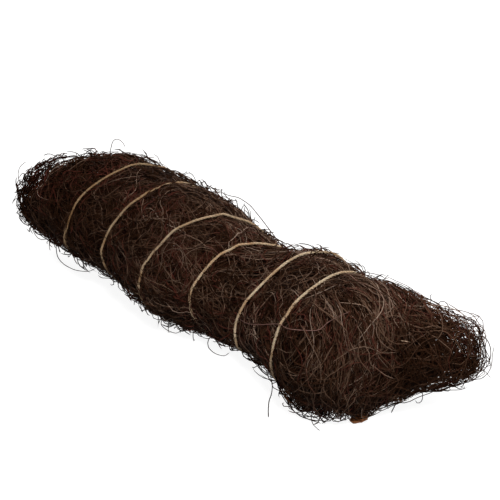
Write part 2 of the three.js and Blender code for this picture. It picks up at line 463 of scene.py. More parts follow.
@dataclass
class Strands:
    """Many thin round strands with pointed ends, each a row of points with a radius at each point."""

    points: Array
    radii: Array
    tone: Array
    sides: int = 3

    def frames(self) -> tuple[Array, Array]:
        """Finds two directions across each strand at each point, turned as little as possible along it.

        Returns:
            The two arrays of directions.
        """
        tangent = unit(np.gradient(self.points, axis=1))
        level = np.abs(tangent[:, :1, 2:]) < STEEP
        helper = np.where(level, [[[0.0, 0.0, 1.0]]], [[[0.0, 1.0, 0.0]]])
        first = np.empty_like(tangent)
        across = unit(np.cross(tangent[:, 0], helper[:, 0]))
        for k in range(tangent.shape[1]):
            across = unit(across - (across * tangent[:, k]).sum(-1, keepdims=True) * tangent[:, k])
            first[:, k] = across
        return first, np.cross(tangent, first)

    def vertices(self) -> Array:
        """Lays out the vertices of each strand: its first tip, its rings and its last tip.

        Returns:
            An array of strands, vertices and x, y, z.
        """
        count, length, _ = self.points.shape
        first, second = self.frames()
        turn = np.arange(self.sides) * 2 * math.pi / self.sides
        around = first[:, :, None] * np.cos(turn)[:, None] + second[:, :, None] * np.sin(turn)[:, None]
        rings = self.points[:, :, None] + self.radii[:, :, None, None] * around
        inner = rings[:, 1:-1].reshape(count, (length - 2) * self.sides, 3)
        return np.concatenate([self.points[:, :1], inner, self.points[:, -1:]], axis=1)

    def faces(self) -> tuple[Array, Array]:
        """Lists the corners of one strand's faces.

        Returns:
            The triangles at its two tips, and the quads between its rings.
        """
        sides = self.sides
        rings = self.points.shape[1] - 2
        here = np.arange(sides)
        after = (here + 1) % sides
        last = 1 + rings * sides
        start = np.stack([np.zeros(sides, int), 1 + after, 1 + here], axis=1)
        finish = np.stack([np.full(sides, last), last - sides + here, last - sides + after], axis=1)
        base = 1 + sides * np.arange(rings - 1)[:, None]
        quads = np.stack([base + here, base + after, base + sides + after, base + sides + here], axis=-1)
        return np.concatenate([start, finish]), quads.reshape(-1, 4)

    def cells(self) -> Array:
        """Gives each strand's face corners a place in a cell of its own on the unit square.

        Returns:
            An array of strands, face corners and u, v.
        """

        def corner(u: Array | float, v: Array) -> Array:
            """Joins the two coordinates of some corners."""
            return np.stack(np.broadcast_arrays(u, v), axis=-1)

        count, length, _ = self.points.shape
        along = np.arange(length) / (length - 1)
        here = np.arange(self.sides) / self.sides
        after = (np.arange(self.sides) + 1) / self.sides
        middle = (here + after) / 2
        second, last = along[1], along[-2]
        low, high = along[1:-2, None], along[2:-1, None]
        start = np.stack([corner(0.0, middle), corner(second, after), corner(second, here)], axis=1)
        finish = np.stack([corner(1.0, middle), corner(last, here), corner(last, after)], axis=1)
        around = [corner(low, here), corner(low, after), corner(high, after), corner(high, here)]
        quads = np.stack(around, axis=2)
        corners = np.concatenate([part.reshape(-1, 2) for part in (start, finish, quads)])
        grid = math.ceil(math.sqrt(count))
        place = np.stack([np.arange(count) % grid, np.arange(count) // grid], axis=1)
        return (place[:, None] + UV_MARGIN + corners[None] * (1 - 2 * UV_MARGIN)) / grid

    def build(self, name: str, material: Material) -> Piece:
        """Joins the strands into one mesh object.

        Args:
            name: The object's name.
            material: Its finish.

        Returns:
            The object, linked to the scene.
        """
        vertices = self.vertices()
        count = len(vertices)
        per = vertices.shape[1]
        tips, quads = self.faces()
        offset = (np.arange(count) * per)[:, None]
        corners = np.concatenate([tips.ravel(), quads.ravel()])[None] + offset
        sizes = np.concatenate([np.full(len(tips), 3), np.full(len(quads), 4)])
        totals = np.tile(sizes, count)
        mesh = bpy.data.meshes.new(name)
        mesh.vertices.add(count * per)
        mesh.vertices.foreach_set("co", vertices.astype(np.float32).ravel())
        mesh.loops.add(corners.size)
        mesh.loops.foreach_set("vertex_index", corners.astype(np.int32).ravel())
        mesh.polygons.add(len(totals))
        mesh.polygons.foreach_set("loop_start", (np.cumsum(totals) - totals).astype(np.int32))
        mesh.polygons.foreach_set("use_smooth", np.ones(len(totals), bool))
        mesh.update(calc_edges=True)
        chart = mesh.uv_layers.new(name=UV_NAME)
        chart.data.foreach_set("uv", self.cells().astype(np.float32).ravel())
        tone = np.repeat(self.tone[:, None], per, 1).astype(np.float32)
        mesh.attributes.new(TONE_AND_SHADE, "FLOAT", "POINT").data.foreach_set("value", tone.ravel())
        mesh.materials.append(material)
        return stand(name, mesh)


def dress(piece: Piece, slot: str, *nodes: str) -> Piece:
    """Puts a finished piece on the frame.

    Args:
        piece: The object.
        slot: The record's material slot; not used.
        nodes: The solids that it stands for.

    Returns:
        The same object.
    """
    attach(piece, BODY)
    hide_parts(*nodes)
    LOG.info("%s: %d faces, stands for %s", piece.name, len(piece.data.polygons), ", ".join(nodes))
    return piece


# Routes and forms read from the frame


def node_surface(name: str) -> tuple[list[Vector], list[tuple[int, ...]]]:
    """Reads a solid's vertices and the corners of each of its faces."""
    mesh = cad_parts[name].data
    return [v.co.copy() for v in mesh.vertices], [tuple(p.vertices) for p in mesh.polygons]


def tube_route(name: str, reach: float) -> Array:
    """Finds the middle line of a solid tube from its rings of vertices.

    Args:
        name: The tube's node.
        reach: Vertices closer than this belong to one ring.

    Returns:
        The rings' middles, in order from the end whose second neighbour is furthest away.
    """
    left = np.array([v.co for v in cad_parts[name].data.vertices], float)
    left = np.unique(np.round(left, 6), axis=0)
    middles = []
    while len(left):
        near = np.linalg.norm(left - left[0], axis=1) < reach
        middles.append(left[near].mean(axis=0))
        left = left[~near]
    middles = np.array(middles)
    gaps = np.linalg.norm(middles[:, None] - middles[None], axis=2)
    np.fill_diagonal(gaps, np.inf)
    chain = [int(np.argmax(np.sort(gaps, axis=1)[:, 1]))]
    rest = set(range(len(middles))) - set(chain)
    while rest:
        chain.append(min(rest, key=lambda k: gaps[chain[-1], k]))
        rest.remove(chain[-1])
    return middles[chain]


def along_route(route: Array, spacing: float) -> Array:
    """Draws a smooth line through a route's points, with even steps.

    Args:
        route: The points.
        spacing: The length of a step.

    Returns:
        The points of the smooth line.
    """
    padded = np.concatenate([2 * route[:1] - route[1:2], route, 2 * route[-1:] - route[-2:-1]])
    share = np.linspace(0, 1, CURVE_STEPS, endpoint=False)[None, :, None]
    a, b, c, d = (padded[k:len(padded) - 3 + k, None] for k in range(4))
    bend = (2 * a - 5 * b + 4 * c - d) * share**2 + (3 * b - a - 3 * c + d) * share**3
    curve = 0.5 * (2 * b + (c - a) * share + bend)
    fine = np.concatenate([curve.reshape(-1, 3), route[-1:]])
    length = np.concatenate([[0.0], np.cumsum(np.linalg.norm(np.diff(fine, axis=0), axis=1))])
    steps = max(2, int(round(length[-1] / spacing)))
    at = np.linspace(0, length[-1], steps + 1)
    return np.stack([np.interp(at, length, fine[:, k]) for k in range(3)], axis=1)


@dataclass(frozen=True)
class SunkPlace:
    """A place where twigs start deeper than the solid's skin, in millimetres."""

    middle: Triple
    reach: float
    depth: float


@dataclass
class BundleForm:
    """How far any point lies from the skin of the solid bundle, kept on a grid."""

    node: str = "twig_bundle"
    pitch: float = 4 * MM
    room: float = 28 * MM
    pulls: int = 5
    probe: Vector = field(default_factory=lambda: Vector((0.013, 0.027, 1.0)).normalized())
    box: tuple[Array, Array] = field(init=False)
    skin: Array = field(init=False)
    low: Array = field(init=False)
    distances: Array = field(init=False)
    slopes: Array = field(init=False)

    def __post_init__(self) -> None:
        """Measures the grid: below 0 inside the bundle, above 0 outside it."""
        vertices, faces = node_surface(self.node)
        tree = BVHTree.FromPolygons(vertices, faces)
        self.skin = np.array([[vertices[k] for k in face] for face in faces], float)
        low, high = (np.array(corner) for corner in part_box(self.node))
        self.box = (low, high)
        self.low = low - self.room
        cells = np.ceil((high - low + 2 * self.room) / self.pitch).astype(int) + 1
        self.distances = np.empty(tuple(cells))
        for index in np.ndindex(*cells):
            place = Vector(self.low + np.array(index) * self.pitch)
            gap = tree.find_nearest(place)[3]
            leaving = tree.ray_cast(place, self.probe)[1]
            inside = leaving is not None and leaving.dot(self.probe) > 0
            self.distances[index] = -gap if inside else gap
        for axis in range(3):
            before, after = np.roll(self.distances, 1, axis), np.roll(self.distances, -1, axis)
            self.distances = 0.25 * before + 0.5 * self.distances + 0.25 * after
        self.slopes = np.stack(np.gradient(self.distances, self.pitch), axis=-1)

    def _blend(self, grid: Array, places: Array) -> Array:
        """Reads a grid between its cells.

        Args:
            grid: The values.
            places: Points in the frame.

        Returns:
            The value at each point.
        """
        top = np.array(self.distances.shape) - 2
        spot = (places - self.low) / self.pitch
        cell = np.clip(np.floor(spot).astype(int), 0, top)
        share = np.clip(spot - cell, 0.0, 1.0)
        total = 0.0
        for corner in np.ndindex(2, 2, 2):
            weight = np.prod(np.where(corner, share, 1 - share), axis=-1)
            value = grid[tuple((cell + corner).T)]
            total = total + (value * weight if value.ndim == 1 else value * weight[:, None])
        return total

    def depth(self, places: Array) -> Array:
        """How deep each point lies under the skin."""
        return -self._blend(self.distances, places)

    def outward(self, places: Array) -> Array:
        """The direction straight out of the bundle at each point."""
        return unit(self._blend(self.slopes, places))

    def hold(self, path: Array, reach: float) -> Array:
        """Pulls back what stands too far out of the bundle.

        Args:
            path: Rows of points.
            reach: How far out of the skin a point may stand.

        Returns:
            The held points.
        """
        low, high = self.box
        flat = np.clip(path.reshape(-1, 3), low - reach, high + reach)
        for _ in range(self.pulls):
            excess = np.minimum(0.0, self.depth(flat) + reach)
            flat = flat + excess[:, None] * self.outward(flat)
        return flat.reshape(path.shape)

    def sunk(self, places: Iterable[SunkPlace]) -> "BundleForm":
        """Copies the form with its skin sunk at some places.

        Args:
            places: The places.

        Returns:
            The sunk form.
        """
        steps = [low + self.pitch * np.arange(cells) for low, cells in zip(self.low, self.distances.shape)]
        grid = np.stack(np.meshgrid(*steps, indexing="ij"), axis=-1)
        sunk = np.zeros(self.distances.shape)
        for place in places:
            gap = np.linalg.norm(grid - np.array(place.middle) * MM, axis=-1)
            sunk = np.maximum(sunk, place.depth * MM * smooth_step(1 - gap / (place.reach * MM)))
        made = copy.copy(self)
        made.distances = self.distances + sunk
        made.slopes = np.stack(np.gradient(made.distances, self.pitch), axis=-1)
        return made

    def scatter(self, count: int, draw: Draw) -> Array:
        """Picks points evenly over the solid's skin.

        Args:
            count: How many.
            draw: The source of random numbers.

        Returns:
            The points.
        """
        start, second, third = self.skin.transpose(1, 0, 2)
        area = np.linalg.norm(np.cross(second - start, third - start), axis=1)
        pick = draw.choice(len(area), count, p=area / area.sum())
        u, v = draw.random((2, count, 1))
        fold = u + v > 1
        u, v = np.where(fold, 1 - u, u), np.where(fold, 1 - v, v)
        return start[pick] + u * (second - start)[pick] + v * (third - start)[pick]


# The bundle


class Lie(Enum):
    """How the twigs of a zone lie.

    Each has an angle from the bundle's length and its spread, both in degrees, then how strongly the twigs
    turn to that angle, and how freely they curl.
    """

    TANGLED = (20.0, 90.0, 0.02, 1.0)
    LENGTHWISE = (8.0, 34.0, 0.12, 0.8)
    SWEPT = (-90.0, 34.0, 0.26, 0.65)
    FRAYED = (6.0, 70.0, 0.05, 1.0)
    EDGED = (-45.0, 40.0, 0.08, 0.9)


@dataclass
class TwigLayer:
    """One layer of the bundle's twigs.

    Lengths are in metres. A twig keeps its own depth, weaves in and out of it, and bends by one of the
    curls, in radians for each metre. The twigs of a bunch run side by side. The lifted share has ends that
    rise. A net lies over the open places too, and the other layers keep under it. Zones are stretches of the
    bundle's length, and facing is how far up the skin may face where a twig starts.
    """

    name: str
    count: int
    points: int
    step: float
    depth: Pair
    radius: Pair
    curl: tuple[float, ...]
    weave: float
    tone: Pair
    lift: Pair = (0.0, 0.0)
    lifted: float = 0.0
    lift_from: Pair = (0.0, 0.4)
    lift_over: float = 0.4
    over_twine: float = 0.0
    pieces: int = 1
    wander: float = 0.14
    own_wander: float = 0.35
    bunch: int = 1
    bunch_width: float = 2.5 * MM
    net: bool = False
    lie: Lie | None = None
    facing: float = 1.0
    back_facing: Pair = (0.15, -0.2)
    zones: tuple[Pair, ...] = ((-1.0, 1.0),)
    sweep: Pair = (0.152, 0.192)
    sweep_turns: Pair = (78.0, -24.0)
    low_front: Pair = (0.55, 0.6)
    loose_ends: Pair = (-0.205, 0.190)
    loosens_over: Pair = (20 * MM, 30 * MM)
    far_looseness: float = 0.25
    spread_at_ends: float = 1.0
    thinning: float = 0.45
    blur: float = 7 * MM
    curl_length: Pair = (35 * MM, 110 * MM)
    wave_length: Pair = (18 * MM, 60 * MM)
    pull_step: float = 6 * MM
    climb: float = 0.6
    steepest: float = 0.8
    reach: float = 9 * MM

    def lies(self, x: Array, outward: Array) -> Array:
        """Finds how the twigs lie at some places.

        Args:
            x: How far along the bundle each place is.
            outward: The outward direction at each.

        Returns:
            Rows of angle, spread, pull and freedom.
        """
        row = np.tile(np.array((self.lie or Lie.TANGLED).value), (len(x), 1))
        if self.lie:
            return row
        back, under = self.back_facing
        row[(outward[:, 1] > back) & (outward[:, 2] > under)] = Lie.LENGTHWISE.value
        start, end = self.sweep
        swept = (x > start) & (x <= end)
        row[swept] = Lie.SWEPT.value
        up = outward[swept, 2]
        top_turn, low_turn = self.sweep_turns
        low, over = self.low_front
        row[swept, 0] += top_turn * smooth_step(up) + low_turn * smooth_step((low - up) / over)
        row[x > end] = Lie.FRAYED.value
        return row

    def looseness(self, x: Array) -> Array:
        """How loose the bundle is along its length: 0 in its lashed part, most at its near end."""
        far, near = self.loose_ends
        far_over, near_over = self.loosens_over
        return self.far_looseness * smooth_step((far - x) / far_over) + smooth_step((x - near) / near_over)

    def starts(self, count: int, form: BundleForm, draw: Draw) -> Array:
        """Picks where the locks start: anywhere in the layer's zones, but sparser at the loose ends.

        Args:
            count: How many locks there are.
            form: The bundle's form.
            draw: The source of random numbers.

        Returns:
            A point on the skin for each lock.
        """
        found = np.empty((0, 3))
        while len(found) < count:
            places = form.scatter(count, draw)
            x = places[:, 0]
            kept = np.any([(x > low) & (x < high) for low, high in self.zones], axis=0)
            kept &= form.outward(places)[:, 2] < self.facing
            kept &= draw.random(count) > self.thinning * self.looseness(x)
            found = np.concatenate([found, places[kept]])
        return found[:count]

    @staticmethod
    def course(angle: Array, outward: Array) -> Array:
        """Turns angles from the bundle's length, in radians, into directions on its skin."""
        along = unit(AXIS - (outward @ AXIS)[:, None] * outward)
        return np.cos(angle)[:, None] * along + np.sin(angle)[:, None] * np.cross(outward, along)

    def grow(self, form: BundleForm, draw: Draw) -> Array:
        """Lets each twig wander over the bundle at its own depth.

        Args:
            form: The bundle's form.
            draw: The source of random numbers.

        Returns:
            An array of twigs, points and x, y, z.
        """
        count = self.count
        locks = count // self.bunch
        lock = np.arange(count) % locks
        apart = self.bunch_width if self.bunch > 1 else 0.0
        spot = self.starts(locks, form, draw)[lock] + draw.normal(0.0, apart, (count, 3))
        out = form.outward(spot)
        spread = 1 + self.spread_at_ends * self.looseness(spot[:, 0])
        own_depth = draw.uniform(*self.depth, count) * spread
        spot = spot + (form.depth(spot) - own_depth)[:, None] * out
        blur = draw.normal(0.0, self.blur, locks)[lock]
        lie = self.lies(spot[:, 0] + blur, out)
        angle = np.radians(lie[:, 0] + lie[:, 1] * draw.uniform(-1, 1, locks)[lock])
        heading = draw.choice([-1.0, 1.0], locks)[lock, None] * self.course(angle, out)
        curl = (draw.choice(self.curl, locks) * draw.normal(0.0, 1.0, locks))[lock]
        curl_length = draw.uniform(*self.curl_length, locks)[lock]
        curl_start = draw.uniform(0, 2 * math.pi, locks)[lock]
        wave_length = draw.uniform(*self.wave_length, count)
        wave_start = draw.uniform(0, 2 * math.pi, count)
        lift = np.where(draw.random(count) < self.lifted, draw.uniform(*self.lift, count), 0.0)
        lift_from = draw.uniform(*self.lift_from, count)
        steepest = self.steepest * self.step
        route = [spot]
        for k in range(1, self.points):
            out = form.outward(spot)
            heading = unit(heading - (heading * out).sum(-1, keepdims=True) * out)
            side = np.cross(out, heading)
            lie = self.lies(spot[:, 0] + blur, out)
            wanted = self.course(np.radians(lie[:, 0]), out)
            off = (side * wanted).sum(-1) * np.sign((heading * wanted).sum(-1))
            bend = curl * np.sin(k * self.step * 2 * math.pi / curl_length + curl_start)
            stray = draw.normal(0.0, self.wander, locks)[lock]
            stray = stray + draw.normal(0.0, self.own_wander * self.wander, count)
            free = bend * self.step + stray
            turn = lie[:, 3] * free + lie[:, 2] * off * self.step / self.pull_step
            heading = np.cos(turn)[:, None] * heading + np.sin(turn)[:, None] * side
            wave = self.weave * np.sin(k * self.step * 2 * math.pi / wave_length + wave_start)
            raised = lift * smooth_step((k / self.points - lift_from) / self.lift_over)
            spot = spot + self.step * heading
            miss = form.depth(spot) - (own_depth + wave - raised)
            climb = np.clip(self.climb * miss, -steepest, steepest)
            spot = spot + climb[:, None] * form.outward(spot)
            route.append(spot)
        return form.hold(np.stack(route, axis=1), self.reach)


@dataclass
class BindingTwine:
    """One jute twine of three plies, wound round the bundle along the solid twine's route."""

    node: str = "binding_twine"
    slot: str = "twine"
    ring_reach: float = 4 * MM
    radius: float = 1.13 * MM
    lowest: float = 1.3
    plies: int = 3
    lay: float = 9.5 * MM
    spacing: float = 1.8 * MM
    sides: int = 6
    swell: float = 1.12
    uneven: float = 0.1
    uneven_limit: float = 1.5
    kink: float = 0.28 * MM
    kink_every: int = 5
    slim: float = 0.84
    slim_between: Pair = (-0.15, 0.02)
    hairs: int = 900
    hair_points: int = 5
    hair_radius: float = 0.07 * MM
    hair_length: Pair = (2.0 * MM, 5.5 * MM)
    hair_root: float = 0.8
    hair_rise: float = 0.5
    hair_bend: float = 0.5
    bare_ends: int = 4
    route: Array = field(init=False)
    across: tuple[Array, Array] = field(init=False)

    def __post_init__(self) -> None:
        """Reads the route from the solid twine, with two directions across it at each point."""
        self.route = along_route(tube_route(self.node, self.ring_reach), self.spacing)
        self.route[:, 2] = np.maximum(self.route[:, 2], self.lowest * self.radius)
        first, second = Strands(self.route[None], np.ones((1, len(self.route))), np.zeros(1)).frames()
        self.across = (first[0], second[0])

    def twist(self, draw: Draw) -> Strands:
        """Twists the plies round each other along a slightly kinked line.

        Args:
            draw: The source of random numbers.

        Returns:
            The plies.
        """
        first, second = self.across
        ply = self.radius / (1 + 2 / math.sqrt(3))
        places = np.arange(len(self.route))
        knots = np.arange(0, len(self.route) + self.kink_every, self.kink_every)
        kinks = draw.normal(0.0, self.kink, (3, len(knots)))
        line = self.route + np.stack([np.interp(places, knots, kink) for kink in kinks], axis=1)
        line[:, 2] = np.maximum(line[:, 2], self.lowest * self.radius)
        slim = np.interp(self.route[:, 0], self.slim_between, (self.slim, 1.0))
        paths = []
        for k in range(self.plies):
            turn = 2 * math.pi * (self.spacing * places / self.lay + k / self.plies)
            around = np.cos(turn)[:, None] * first + np.sin(turn)[:, None] * second
            paths.append(line + (self.radius - ply) * slim[:, None] * around)
        lumps = draw.normal(0, 1, (self.plies, len(self.route))).clip(-self.uneven_limit, self.uneven_limit)
        thick = ply * slim * self.swell * (1 + self.uneven * lumps)
        return Strands(np.array(paths), thick, np.zeros(self.plies), self.sides)

    def fuzz(self, draw: Draw) -> Strands:
        """Raises loose hairs from the twine.

        Args:
            draw: The source of random numbers.

        Returns:
            The hairs.
        """
        first, second = self.across
        at = draw.integers(self.bare_ends, len(self.route) - self.bare_ends, self.hairs)
        turn = draw.uniform(0, 2 * math.pi, self.hairs)[:, None]
        out = np.cos(turn) * first[at] + np.sin(turn) * second[at]
        tangent = unit(self.route[at + 1] - self.route[at - 1])
        tangent = tangent * draw.choice([-1.0, 1.0], self.hairs)[:, None]
        reach = draw.uniform(*self.hair_length, self.hairs)[:, None]
        root = self.route[at] + self.hair_root * self.radius * out
        bend = unit(draw.normal(0, 1, (self.hairs, 3)))
        share = np.linspace(0, 1, self.hair_points)[None, :, None]
        rise = self.hair_rise * reach * (out + self.hair_bend * bend)
        path = root[:, None] + (reach * tangent)[:, None] * share + rise[:, None] * share**2
        path[:, :, 2] = np.maximum(path[:, :, 2], 2 * self.hair_radius)
        thin = np.full(path.shape[:2], self.hair_radius)
        return Strands(path, thin, np.zeros(self.hairs))

    def build(self, finish: JuteFinish, draw: Draw) -> list[Piece]:
        """Makes the twine.

        Args:
            finish: The twine's finish.
            draw: The source of random numbers.

        Returns:
            The plies and the hairs.
        """
        material = finish.material()
        parts = {"jute_plies": self.twist(draw), "jute_hairs": self.fuzz(draw)}
        made = [strands.build(name, material) for name, strands in parts.items()]
        return [dress(piece, self.slot, self.node) for piece in made]


@dataclass(frozen=True)
class PaintedShadeAndBlotches:
    """How the twigs' tones vary over the bundle.

    Painted shade darkens the twigs deep under the skin, and those of the far end too, apart from a few
    painted glints. All are blotched in their own tone, and painted shade darkens the mouth of the loose end.
    Of glint, mouth_facing and mouth_from, the first number is where a change starts and the second over how
    much it goes on.
    """

    # Painted shade: twigs deeper under the skin are darker.
    shade_depth: float = 6 * MM
    deep_light: float = 0.35
    # Painted shade darkens the far end; the glints are painted highlights that it spares.
    dark_end: Pair = (0.02, -0.17)
    dimming: float = 0.6
    glint_noise: float = 230.0
    glint: Pair = (0.15, 0.15)
    blotch_noise: float = 45.0
    blotch: Pair = (0.5, 0.3)
    # Painted shade in the mouth of the loose end.
    mouth_facing: Pair = (0.25, 0.4)
    mouth_from: Pair = (0.19, 0.02)
    gloom: float = 0.55
    net_gloom: float = 0.25
    mix: Pair = (1.4, 1.5)

    def far(self, x: Array) -> Array:
        """How near the end darkened by painted shade each place along the bundle is, from 0 to 1."""
        start, end = self.dark_end
        return smooth_step((x - start) / (end - start))

    def mouth(self, x: Array, facing: Array) -> Array:
        """How deep in the mouth of the loose end each place is, from 0 to 1.

        Args:
            x: How far along the bundle it is.
            facing: How far the skin faces along the bundle there.

        Returns:
            The shares.
        """
        turned, over = self.mouth_facing
        start, length = self.mouth_from
        return smooth_step((facing - turned) / over) * smooth_step((x - start) / length)

    def shade(self, depth: Array, dark: Array, middle: Array, gloom: Array) -> Array:
        """Finds how light the twigs are.

        Args:
            depth: How deep each twig lies.
            dark: How near the dark end it is.
            middle: Its middle point.
            gloom: How much of its light the mouth takes.

        Returns:
            A factor for each twig's tone.
        """
        # Painted shade: the deeper a twig lies, the darker it is.
        unshaded = 1 - smooth_step(depth / self.shade_depth)
        glints = np.array([noise.noise(Vector(place * self.glint_noise)) for place in middle])
        blotches = np.array([noise.noise(Vector(place * self.blotch_noise)) for place in middle])
        start, over = self.glint
        # Painted shade at the far end, spared at the painted glints.
        lit = 1 - self.dimming * dark * (1 - smooth_step((glints - start) / over))
        everywhere, more_at_end = self.blotch
        patch = 1 + (everywhere + more_at_end * dark) * blotches
        return (self.deep_light + (1 - self.deep_light) * unshaded) * lit * patch * (1 - gloom)


@dataclass
class TwigBundle:
    """The bundle of twigs itself.

    At the proud places all twigs start deeper than the solid's skin, and at the open places all but the nets
    start deeper still. At the buried places the twine sinks out of sight. Places are in millimetres.
    """

    form: BundleForm
    twine: BindingTwine
    node: str = "twig_bundle"
    slot: str = "twig"
    shade_and_blotches: PaintedShadeAndBlotches = PaintedShadeAndBlotches()
    groove: float = 13 * MM
    groove_slope: float = 0.6
    bed: float = 1.8 * MM
    clearance: float = 0.35 * MM
    bridge_fall: float = 0.5
    bridge_width: float = 0.6
    taper: float = 0.45
    uneven: Pair = (0.9, 1.1)
    buried: tuple[Triple, ...] = (
        (-156.0, -42.0, 32.0),
        (-38.0, -58.0, 35.0),
        (19.0, -42.0, 15.0),
    )
    buried_reach: float = 19 * MM
    buried_share: float = 0.6
    open_places: tuple[SunkPlace, ...] = (
        SunkPlace((-230.0, -24.0, 89.0), 42.0, 19.0),
        SunkPlace((-238.0, 0.0, 84.0), 38.0, 16.0),
        SunkPlace((-210.0, -8.0, 99.0), 32.0, 9.0),
        SunkPlace((196.0, -10.0, 10.0), 28.0, 8.0),
        SunkPlace((220.0, 12.0, 22.0), 28.0, 8.0),
        SunkPlace((202.0, 17.0, 91.0), 28.0, 7.0),
        SunkPlace((219.0, 29.0, 81.0), 28.0, 8.0),
        SunkPlace((112.0, 17.0, 104.0), 30.0, 4.0),
        SunkPlace((127.0, 15.0, 103.0), 26.0, 4.0),
        SunkPlace((146.0, -76.0, 21.0), 27.0, 8.0),
        SunkPlace((160.0, -66.0, 15.0), 27.0, 9.0),
        SunkPlace((174.0, -51.0, 9.0), 26.0, 8.0),
    )
    proud_places: tuple[SunkPlace, ...] = (
        SunkPlace((112.0, 17.0, 104.0), 30.0, 5.0),
        SunkPlace((127.0, 15.0, 103.0), 26.0, 4.0),
        SunkPlace((66.0, 12.0, 95.0), 24.0, 3.0),
        SunkPlace((-25.0, 18.0, 111.0), 30.0, 4.0),
        SunkPlace((-81.0, 29.0, 107.0), 30.0, 4.0),
        SunkPlace((-66.0, -53.0, 20.0), 30.0, 7.0),
        SunkPlace((92.0, -58.0, 22.0), 30.0, 5.0),
        SunkPlace((190.0, -12.0, 7.0), 26.0, 5.0),
        SunkPlace((208.0, 2.0, 19.0), 26.0, 5.0),
        SunkPlace((223.0, 17.0, 22.0), 26.0, 4.0),
    )
    trimmed: BundleForm = field(init=False)
    packed: BundleForm = field(init=False)
    layers: tuple[TwigLayer, ...] = (
        TwigLayer(
            "inner_twigs", count=2800, points=8, step=15 * MM, depth=(3.5 * MM, 36 * MM),
            radius=(0.6 * MM, 0.9 * MM), curl=(8.0, 20.0), weave=3 * MM, tone=(0.0, 0.3), spread_at_ends=0.0,
        ),
        TwigLayer(
            "long_twigs", count=2400, points=16, step=8 * MM, depth=(1.5 * MM, 8 * MM),
            radius=(0.24 * MM, 0.37 * MM), curl=(12.0, 26.0, 48.0), weave=2.4 * MM, tone=(0.0, 1.0),
            over_twine=0.01, pieces=2, bunch=4,
        ),
        TwigLayer(
            "curled_twigs", count=3810, points=18, step=3.9 * MM, depth=(0.5 * MM, 6 * MM),
            radius=(0.23 * MM, 0.36 * MM), curl=(25.0, 55.0, 100.0), weave=1.8 * MM, tone=(0.0, 1.0),
            lift=(2 * MM, 5 * MM), lifted=0.04, over_twine=0.015, pieces=3, wander=0.27, bunch=3,
        ),
        TwigLayer(
            "loose_twigs", count=1000, points=14, step=4.5 * MM, depth=(-1.0 * MM, 1.2 * MM),
            radius=(0.23 * MM, 0.35 * MM), curl=(20.0, 45.0, 85.0), weave=1.2 * MM, tone=(0.3, 0.95),
            lift=(2 * MM, 4 * MM), lifted=0.04, over_twine=0.02, wander=0.3,
        ),
        TwigLayer(
            "fringe_twigs", count=1800, points=8, step=3 * MM, depth=(-1.5 * MM, 0.5 * MM),
            radius=(0.37 * MM, 0.54 * MM), curl=(50.0, 110.0, 180.0), weave=0.6 * MM, tone=(0.0, 0.4),
            lift=(1.5 * MM, 7 * MM), lifted=0.8, zones=((-1.0, 0.15),), wander=0.35, net=True,
        ),
        TwigLayer(
            "tuft_twigs", count=650, points=9, step=3 * MM, depth=(-2 * MM, 5 * MM),
            radius=(0.38 * MM, 0.55 * MM), curl=(60.0, 130.0, 220.0), weave=0.6 * MM, tone=(0.0, 0.3),
            lift=(1 * MM, 4.5 * MM), lifted=0.6, zones=((-1.0, -0.228),), wander=0.35, net=True,
        ),
        TwigLayer(
            "frayed_twigs", count=1000, points=13, step=5 * MM, depth=(-3.5 * MM, 4 * MM),
            radius=(0.27 * MM, 0.4 * MM), curl=(20.0, 45.0, 90.0), weave=1 * MM, tone=(0.0, 0.9),
            lift=(1 * MM, 5 * MM), lifted=0.3, spread_at_ends=0.2, zones=((0.16, 1.0),), wander=0.22,
            bunch=2, net=True,
        ),
        TwigLayer(
            "swept_twigs", count=260, points=13, step=5.5 * MM, depth=(-0.8 * MM, 1.2 * MM),
            radius=(0.2 * MM, 0.3 * MM), curl=(15.0, 35.0), weave=0.8 * MM, tone=(0.0, 1.0),
            zones=((0.155, 0.192),), wander=0.16, bunch=4, bunch_width=3.5 * MM,
        ),
        TwigLayer(
            "looped_twigs", count=170, points=14, step=5 * MM, depth=(-4 * MM, 5 * MM),
            radius=(0.34 * MM, 0.48 * MM), curl=(20.0, 45.0, 90.0), weave=1.2 * MM, tone=(0.0, 0.35),
            lift=(1 * MM, 4 * MM), lifted=0.3, zones=((0.12, 0.19),), wander=0.2, net=True,
            lie=Lie.EDGED, facing=-0.1,
        ),
    )

    def __post_init__(self) -> None:
        """Finds the forms of the nets and of the tightly packed twigs."""
        self.trimmed = self.form.sunk(self.proud_places)
        self.packed = self.trimmed.sunk(self.open_places)

    def under_twine(self, path: Array, over: Array) -> Array:
        """Presses twigs under the twine, apart from the few that pass over it.

        Args:
            path: The twigs' points.
            over: Which twigs pass over the twine.

        Returns:
            The moved points.
        """
        route = self.twine.route
        outward = self.form.outward(route)
        tree = KDTree(len(route))
        for k, place in enumerate(route):
            tree.insert(place, k)
        tree.balance()
        flat = path.reshape(-1, 3)
        nearest = np.array([tree.find(place)[1] for place in flat])
        gap = flat - route[nearest]
        height = (gap * outward[nearest]).sum(-1)
        sideways = np.linalg.norm(gap - height[:, None] * outward[nearest], axis=-1)
        clear = self.twine.radius + self.clearance
        slope = self.groove_slope * self.groove * smooth_step((sideways - self.bed) / self.groove)
        drop = np.minimum(0, slope - clear - height)
        drop[sideways > self.groove + self.bed] = 0.0
        fall, width = self.bridge_fall * self.groove, self.bridge_width * self.groove
        rise = np.maximum(0, clear - fall * smooth_step(sideways / width) - height)
        rise[sideways > width] = 0.0
        shift = np.where(np.repeat(over, path.shape[1]), rise, drop)
        return (flat + shift[:, None] * outward[nearest]).reshape(path.shape)

    def buries(self, path: Array) -> Array:
        """Whether each twig passes one of the places where the twine sinks out of sight."""
        gaps = [np.linalg.norm(path - np.array(place) * MM, axis=-1).min(axis=1) for place in self.buried]
        return np.min(gaps, axis=0) < self.buried_reach

